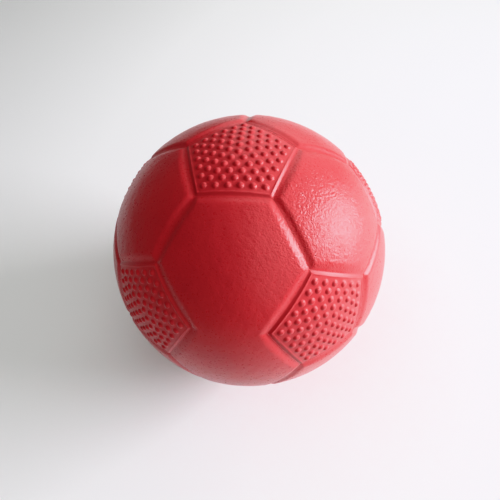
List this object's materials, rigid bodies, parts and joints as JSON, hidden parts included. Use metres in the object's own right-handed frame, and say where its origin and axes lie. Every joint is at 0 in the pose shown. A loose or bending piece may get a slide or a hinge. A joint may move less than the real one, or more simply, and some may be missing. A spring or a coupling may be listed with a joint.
{
  "type": "playground ball",
  "caption": "Red rubber playground ball with a football's panel pattern: plain six-sided panels, studded five-sided panels and a needle valve.",
  "frame": {"origin": "centre of the ball", "axes": "+Z through the middle of the studded panel on top, -Y (the front) through the meridian of the long double panel, +X to the right seen from the front"},
  "size_m": [0.2158, 0.216, 0.2164],
  "materials": {
    "cover_rubber": "satin, fine moulded leather grain",
    "carcass_rubber": "matte",
    "winding_thread": "matte wound thread",
    "bladder_butyl": "matte",
    "valve_rubber": "satin",
    "valve_core_rubber": "matte"
  },
  "bodies": {
    "root": {"air_bladder": "bladder_butyl", "double_panel_front": "cover_rubber", "plain_panel_bottom_1": "cover_rubber", "plain_panel_bottom_2": "cover_rubber", "plain_panel_bottom_3": "cover_rubber", "plain_panel_bottom_4": "cover_rubber", "plain_panel_bottom_5": "cover_rubber", "plain_panel_lower_1": "cover_rubber", "plain_panel_lower_2": "cover_rubber", "plain_panel_lower_3": "cover_rubber", "plain_panel_lower_4": "cover_rubber", "plain_panel_lower_5": "cover_rubber", "plain_panel_top_2": "cover_rubber", "plain_panel_top_3": "cover_rubber", "plain_panel_top_4": "cover_rubber", "plain_panel_top_5": "cover_rubber", "plain_panel_upper_2": "cover_rubber", "plain_panel_upper_3": "cover_rubber", "plain_panel_upper_5": "cover_rubber", "rubber_carcass": "carcass_rubber", "studded_panel_bottom": "cover_rubber", "studded_panel_lower_1": "cover_rubber", "studded_panel_lower_2": "cover_rubber", "studded_panel_lower_3": "cover_rubber", "studded_panel_lower_4": "cover_rubber", "studded_panel_lower_5": "cover_rubber", "studded_panel_top": "cover_rubber", "studded_panel_upper_1": "cover_rubber", "studded_panel_upper_2": "cover_rubber", "studded_panel_upper_3": "cover_rubber", "studded_panel_upper_4": "cover_rubber", "studded_panel_upper_5": "cover_rubber", "thread_winding": "winding_thread", "valve_core": "valve_core_rubber", "valve_housing": "valve_rubber", "valve_panel_back": "cover_rubber"}
  },
  "joints": []
}
